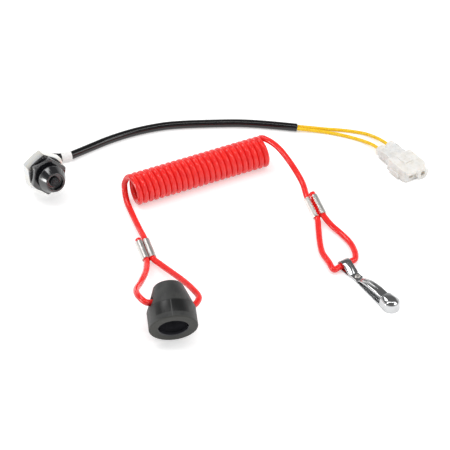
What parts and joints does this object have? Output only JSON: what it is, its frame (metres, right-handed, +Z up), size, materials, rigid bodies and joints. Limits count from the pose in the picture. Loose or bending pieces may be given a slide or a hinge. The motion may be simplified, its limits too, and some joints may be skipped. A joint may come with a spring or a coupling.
{
  "type": "tether stop switch with pull-off cap and coiled lanyard",
  "caption": "Panel-mounted plunger stop switch with a two-wire lead, and its rubber pull-off cap on a coiled red tether ending in a snap hook.",
  "frame": {"origin": "On the table under the middle of the box round the switch, cap and snap hook, cords apart", "axes": "+X to the right along the layout's long side, +Y away from the viewer, +Z up from the table"},
  "size_m": [0.2681, 0.2267, 0.0321],
  "materials": {
    "black_plastic": "glossy moulded nylon",
    "plunger_plastic": "glossy moulded acetal",
    "spring_steel": "bright drawn wire",
    "brass": "stamped and turned",
    "boot_rubber": "satin",
    "seal_rubber": "satin, shiny edge",
    "zinc_plate": "bright zinc plate",
    "sleeve_pvc": "glossy extruded tube",
    "white_tape": "plain tape",
    "yellow_pvc": "glossy insulation",
    "natural_nylon": "milky, translucent",
    "cap_rubber": "matt moulded",
    "red_cord": "glossy extruded cord",
    "crimp_steel": "plated sheet",
    "hook_steel": "bright nickel plate"
  },
  "bodies": {
    "root": {"switch_body": "black_plastic", "return_spring": "spring_steel", "contact_left": "brass", "contact_right": "brass", "rear_plug": "black_plastic", "cable_boot": "boot_rubber", "seal_washer": "seal_rubber", "lock_nut": "zinc_plate", "lead_sleeve": "sleeve_pvc", "marker_band": "white_tape", "wire_upper": "yellow_pvc", "wire_lower": "yellow_pvc", "connector_housing": "natural_nylon", "terminal_left": "brass", "terminal_right": "brass", "coil": "red_cord", "cord_cap_end": "red_cord", "cord_hook_end": "red_cord", "crimp_cap_end": "crimp_steel", "crimp_hook_end": "crimp_steel"},
    "button": {"plunger": "plunger_plastic", "contact_bridge": "brass"},
    "cap": {"cap": "cap_rubber"},
    "hook": {"hook_body": "hook_steel", "hook_rivet": "crimp_steel"},
    "gate": {"hook_gate": "hook_steel"}
  },
  "joints": [
    {"name": "plunger_slide", "type": "slide", "parent": "root", "child": "button", "axis": [-0.4234, 0.8682, -0.2588], "range_m": [0, 0.003], "stiffness_N_per_m": 600, "springref_m": -0.004, "deforming": ["return_spring"]},
    {"name": "cap_swing", "type": "hinge", "parent": "root", "child": "cap", "pos_m": [-0.02064, -0.06518, 0.0195], "axis": [0.9278, 0.232, -0.2922], "range_deg": [-60, 60]},
    {"name": "hook_swing", "type": "hinge", "parent": "root", "child": "hook", "pos_m": [0.0879, -0.0105, 0.0033], "axis": [-0.809, -0.5878, 0], "range_deg": [-80, 80]},
    {"name": "gate_flex", "type": "hinge", "parent": "hook", "child": "gate", "pos_m": [0.09733, -0.02348, 0.00175], "axis": [0.809, 0.5878, 0], "range_deg": [0, 8], "stiffness_Nm_per_rad": 0.5, "springref_deg": -5.73}
  ]
}
